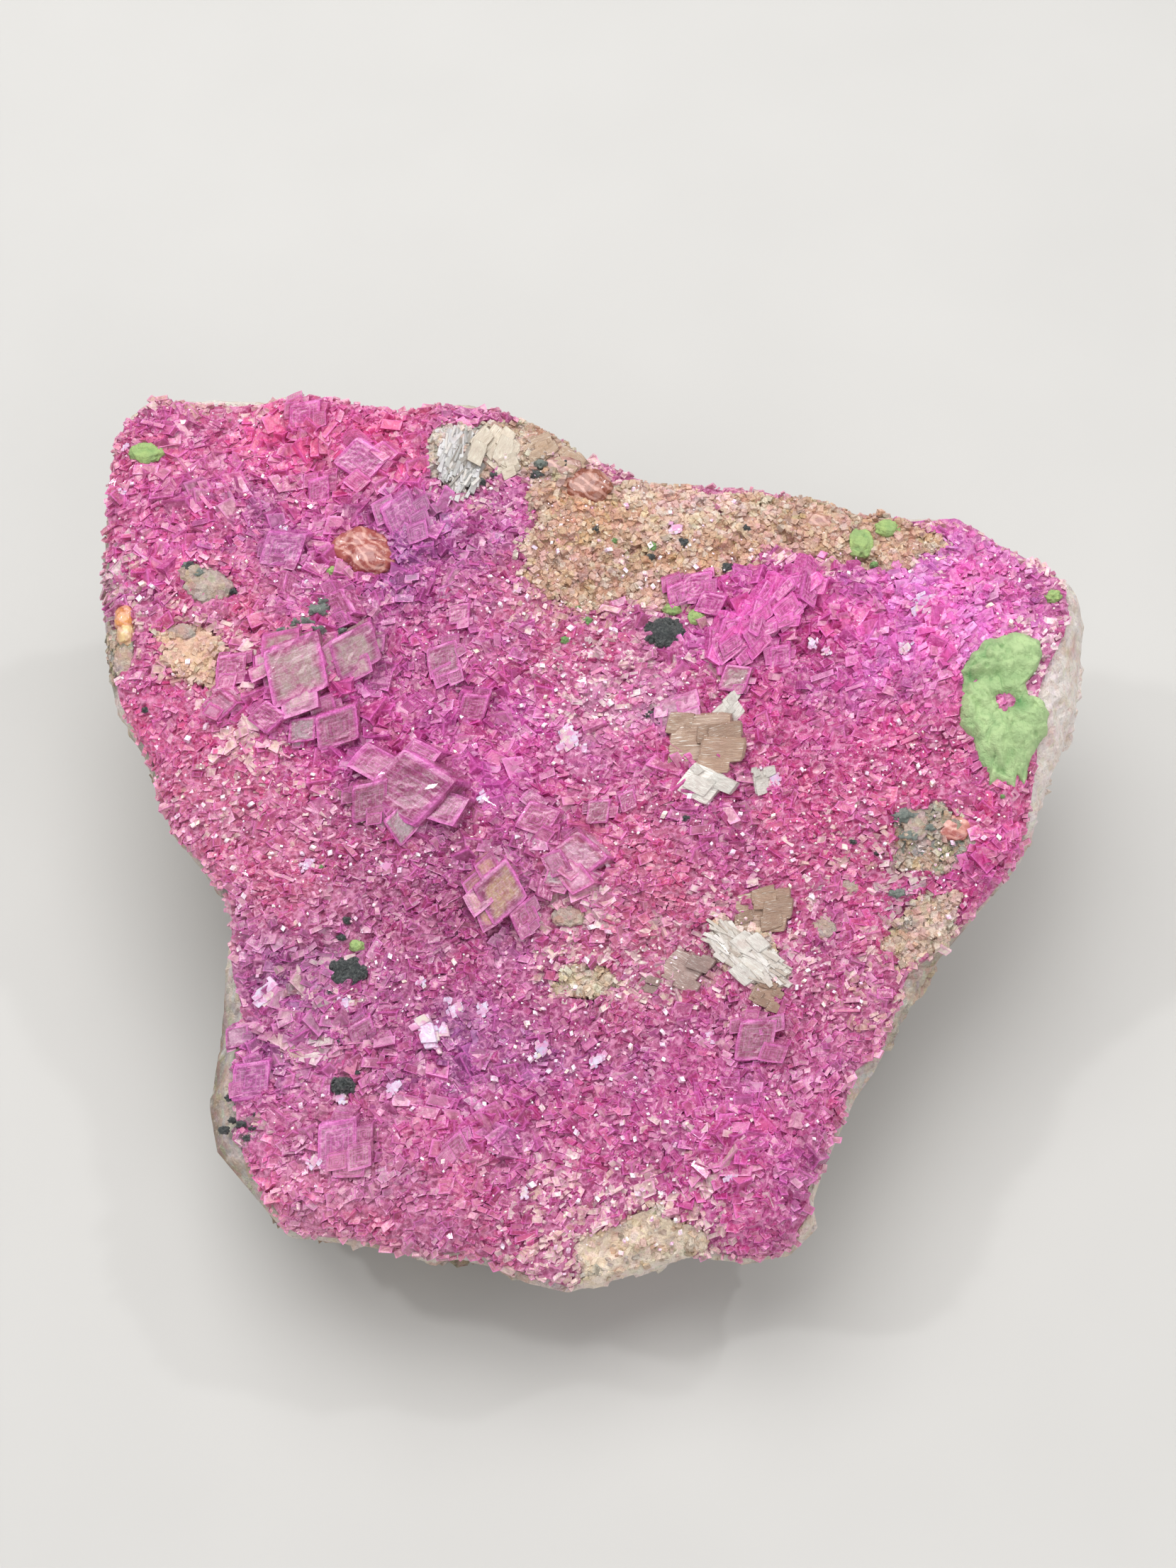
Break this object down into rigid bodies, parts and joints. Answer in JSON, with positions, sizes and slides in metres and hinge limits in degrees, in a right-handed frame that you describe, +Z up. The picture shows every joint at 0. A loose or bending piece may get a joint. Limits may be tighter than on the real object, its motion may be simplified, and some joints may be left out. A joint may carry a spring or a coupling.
{
  "type": "cobaltoan calcite mineral specimen",
  "caption": "Loose hand specimen: a thick plate of host rock whose leaning upper face carries a sparkling pink crust of calcite rhombs, with pale green malachite and black oxide on it.",
  "frame": {"origin": "middle of the bounding box's foot, on the flat break that the specimen rests on", "axes": "+Z up, +X to the right along the widest way, +Y to the back; the crystal face leans 12 degrees towards -Y"},
  "size_m": [0.0942, 0.0844, 0.0346],
  "materials": {
    "host_rock": "rough broken dolomite and calcite rock, cream to tan and grey, matt",
    "pink_calcite": "glassy, see-through magenta pink rhombohedral calcite crystals with bright cleavage faces",
    "malachite": "matt, wrinkled, earthy pale yellow-green",
    "black_oxide": "velvety black to greenish black"
  },
  "bodies": {
    "root": {"host_rock": "host_rock", "pink_calcite_crust": "pink_calcite", "malachite_patch": "malachite", "malachite_fleck_upper_left": "malachite", "malachite_fleck_by_nodule": "malachite", "malachite_fleck_bead_left": "malachite", "malachite_fleck_bead_right": "malachite", "malachite_fleck_top_right": "malachite", "malachite_fleck_top_edge": "malachite", "malachite_fleck_right_edge": "malachite", "malachite_fleck_centre": "malachite", "malachite_fleck_lower_left": "malachite", "oxide_spot_upper": "black_oxide", "oxide_spot_lower_left": "black_oxide", "oxide_spot_bead": "black_oxide"}
  },
  "joints": []
}
